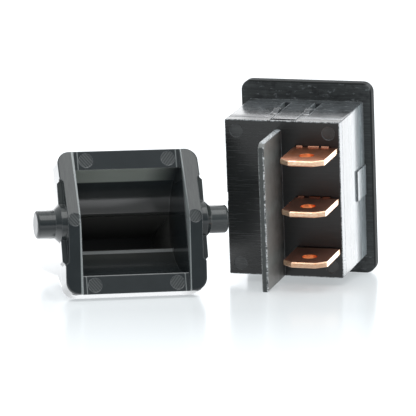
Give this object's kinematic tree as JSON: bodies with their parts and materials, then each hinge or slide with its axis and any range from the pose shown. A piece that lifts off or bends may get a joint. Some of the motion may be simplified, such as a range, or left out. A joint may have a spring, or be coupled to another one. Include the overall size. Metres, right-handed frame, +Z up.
{
  "type": "boat trim switch",
  "caption": "Snap-in rocker switch with push-on tabs and a divider on its back, beside the hollow black thumb button with pivot pins that works it.",
  "frame": {"origin": "centre of the bounding box at the level of the surface that the switch and the button stand on", "axes": "+Z up; +X from the button to the switch, along the longest extent; -Y towards the side where the terminals and the button's open side show"},
  "size_m": [0.0492, 0.0354, 0.0283],
  "materials": {
    "housing_plastic": "smooth black nylon with a soft shine",
    "base_plastic": "black nylon, fine tool marks",
    "rocker_plastic": "black, fine even grain",
    "button_plastic": "glossy black",
    "plunger_plastic": "natural acetal",
    "terminal_copper": "bright copper",
    "saddle_brass": "rolled brass sheet",
    "arm_copper": "rolled copper strip",
    "contact_silver": "bright silver alloy",
    "spring_steel": "drawn spring wire"
  },
  "bodies": {
    "housing": {"housing": "housing_plastic", "terminal_base": "base_plastic", "upper_terminal": "terminal_copper", "common_terminal": "terminal_copper", "lower_terminal": "terminal_copper", "contact_saddle": "saddle_brass", "upper_fixed_contact": "contact_silver", "lower_fixed_contact": "contact_silver", "trim_button": "button_plastic"},
    "rocker": {"rocker": "rocker_plastic", "plunger_spring": "spring_steel"},
    "plunger": {"plunger": "plunger_plastic"},
    "contact_arm": {"contact_arm": "arm_copper", "upper_moving_contact": "contact_silver", "lower_moving_contact": "contact_silver"}
  },
  "joints": [
    {"name": "rocker_tilt", "type": "hinge", "parent": "housing", "child": "rocker", "pos_m": [0.01371, 0.00851, 0.01374], "axis": [0.9563, -0.2924, 0], "range_deg": [-10, 10], "stiffness_Nm_per_rad": 0.08},
    {"name": "plunger_slide", "type": "slide", "parent": "rocker", "child": "plunger", "axis": [0.2901, 0.9489, 0.1243], "range_m": [0, 0.0005], "stiffness_N_per_m": 600, "springref_m": -0.001},
    {"name": "contact_rock", "type": "hinge", "parent": "housing", "child": "contact_arm", "pos_m": [0.01701, 0.00228, 0.01312], "axis": [0.9563, -0.2924, 0], "range_deg": [-6.5, 6.5]}
  ],
  "couplings": [
    {"joint": "contact_rock", "follows": "rocker_tilt", "ratio": -0.65}
  ]
}
